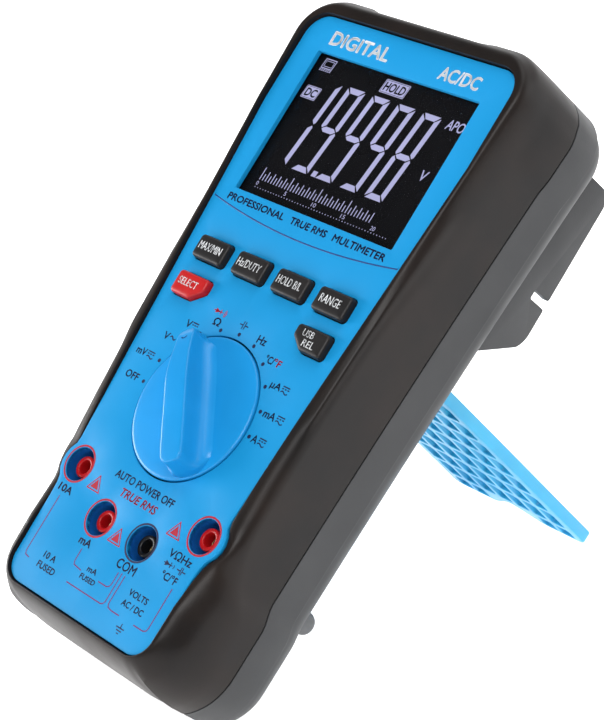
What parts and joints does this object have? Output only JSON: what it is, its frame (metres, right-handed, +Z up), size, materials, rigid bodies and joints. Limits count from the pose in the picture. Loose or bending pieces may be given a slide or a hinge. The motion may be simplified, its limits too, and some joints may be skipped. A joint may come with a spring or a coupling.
{
  "type": "digital multimeter",
  "caption": "Handheld digital multimeter standing on its fold-out tilt stand, with display, six keys, rotary switch and four test lead sockets.",
  "frame": {"origin": "centre of the bounding box on the surface that the meter stands on", "axes": "+X to the meter's right, +Y to the rear, +Z up; the front leans back 46.5 degrees from lying flat"},
  "size_m": [0.0964, 0.1794, 0.171],
  "materials": {
    "front_rubber": "soft matt rubber skin, very dark grey",
    "rear_plastic": "fine-grained matt plastic, dark grey",
    "blue_panel": "satin bright blue with printed markings",
    "blue_knob": "semi-gloss bright blue",
    "blue_stand": "semi-gloss light blue",
    "clear_window": "clear acrylic",
    "lcd_black": "black display with pale lilac segments",
    "light_guide": "milky light guide",
    "white_plastic": "natural white moulding",
    "silicone": "grey silicone",
    "conductive_rubber": "striped conductive rubber",
    "key_grey": "dark grey satin key with white legend",
    "key_red": "red satin key with white legend",
    "board_green": "green solder mask",
    "chip_black": "moulded epoxy",
    "component_blue": "dipped component coating",
    "red_insulator": "red insulating sleeve",
    "black_insulator": "black insulating sleeve",
    "brass": "turned brass",
    "steel": "plated steel",
    "ceramic": "white ceramic fuse body",
    "spring_bronze": "phosphor bronze strip",
    "copper": "bare copper-alloy wire",
    "battery_skin": "printed metal battery jacket, plain",
    "foot_rubber": "moulded rubber foot"
  },
  "bodies": {
    "case": {"front_shell": "front_rubber", "rear_shell": "rear_plastic", "front_panel": "blue_panel", "lcd_window": "clear_window", "lcd_module": "lcd_black", "lcd_backlight": "light_guide", "lcd_frame": "white_plastic", "zebra_strips": "conductive_rubber", "main_board": "board_green", "board_screws": "steel", "measuring_chip": "chip_black", "board_parts": "component_blue", "keypad_mat": "silicone", "detent_ring": "white_plastic", "socket_10a": "brass", "socket_ma": "brass", "socket_com": "brass", "socket_volt": "brass", "sleeve_10a": "red_insulator", "sleeve_ma": "red_insulator", "sleeve_com": "black_insulator", "sleeve_volt": "red_insulator", "fuse_10a": "ceramic", "fuse_ma": "ceramic", "fuse_caps": "steel", "fuse_clips": "spring_bronze", "current_shunt": "copper", "buzzer": "chip_black", "shield_plate": "steel", "battery": "battery_skin", "battery_terminals": "steel", "battery_snap": "black_insulator", "battery_cover": "rear_plastic", "cover_screws": "steel", "case_screws": "steel", "rear_feet": "foot_rubber"},
    "knob": {"knob": "blue_knob", "switch_rotor": "white_plastic", "switch_wipers": "spring_bronze", "detent_balls": "steel", "detent_springs": "steel"},
    "stand": {"tilt_stand": "blue_stand", "stand_pins": "steel"},
    "key_maxmin": {"key_maxmin": "key_grey"},
    "key_duty": {"key_duty": "key_grey"},
    "key_hold": {"key_hold": "key_grey"},
    "key_range": {"key_range": "key_grey"},
    "key_select": {"key_select": "key_red"},
    "key_rel": {"key_rel": "key_grey"}
  },
  "joints": [
    {"name": "knob_turn", "type": "hinge", "parent": "case", "child": "knob", "pos_m": [0, -0.04163, 0.07979], "axis": [0, -0.7254, 0.6884], "range_deg": [-126, 54]},
    {"name": "stand_fold", "type": "hinge", "parent": "case", "child": "stand", "pos_m": [0, 0.01853, 0.08101], "axis": [1, 0, 0], "range_deg": [-85, 0]},
    {"name": "key_maxmin_press", "type": "slide", "parent": "case", "child": "key_maxmin", "axis": [0, 0.7254, -0.6884], "range_m": [0, 0.0008], "stiffness_N_per_m": 600, "springref_m": -0.0008},
    {"name": "key_duty_press", "type": "slide", "parent": "case", "child": "key_duty", "axis": [0, 0.7254, -0.6884], "range_m": [0, 0.0008], "stiffness_N_per_m": 600, "springref_m": -0.0008},
    {"name": "key_hold_press", "type": "slide", "parent": "case", "child": "key_hold", "axis": [0, 0.7254, -0.6884], "range_m": [0, 0.0008], "stiffness_N_per_m": 600, "springref_m": -0.0008},
    {"name": "key_range_press", "type": "slide", "parent": "case", "child": "key_range", "axis": [0, 0.7254, -0.6884], "range_m": [0, 0.0008], "stiffness_N_per_m": 600, "springref_m": -0.0008},
    {"name": "key_select_press", "type": "slide", "parent": "case", "child": "key_select", "axis": [0, 0.7254, -0.6884], "range_m": [0, 0.0008], "stiffness_N_per_m": 600, "springref_m": -0.0008},
    {"name": "key_rel_press", "type": "slide", "parent": "case", "child": "key_rel", "axis": [0, 0.7254, -0.6884], "range_m": [0, 0.0008], "stiffness_N_per_m": 600, "springref_m": -0.0008}
  ]
}
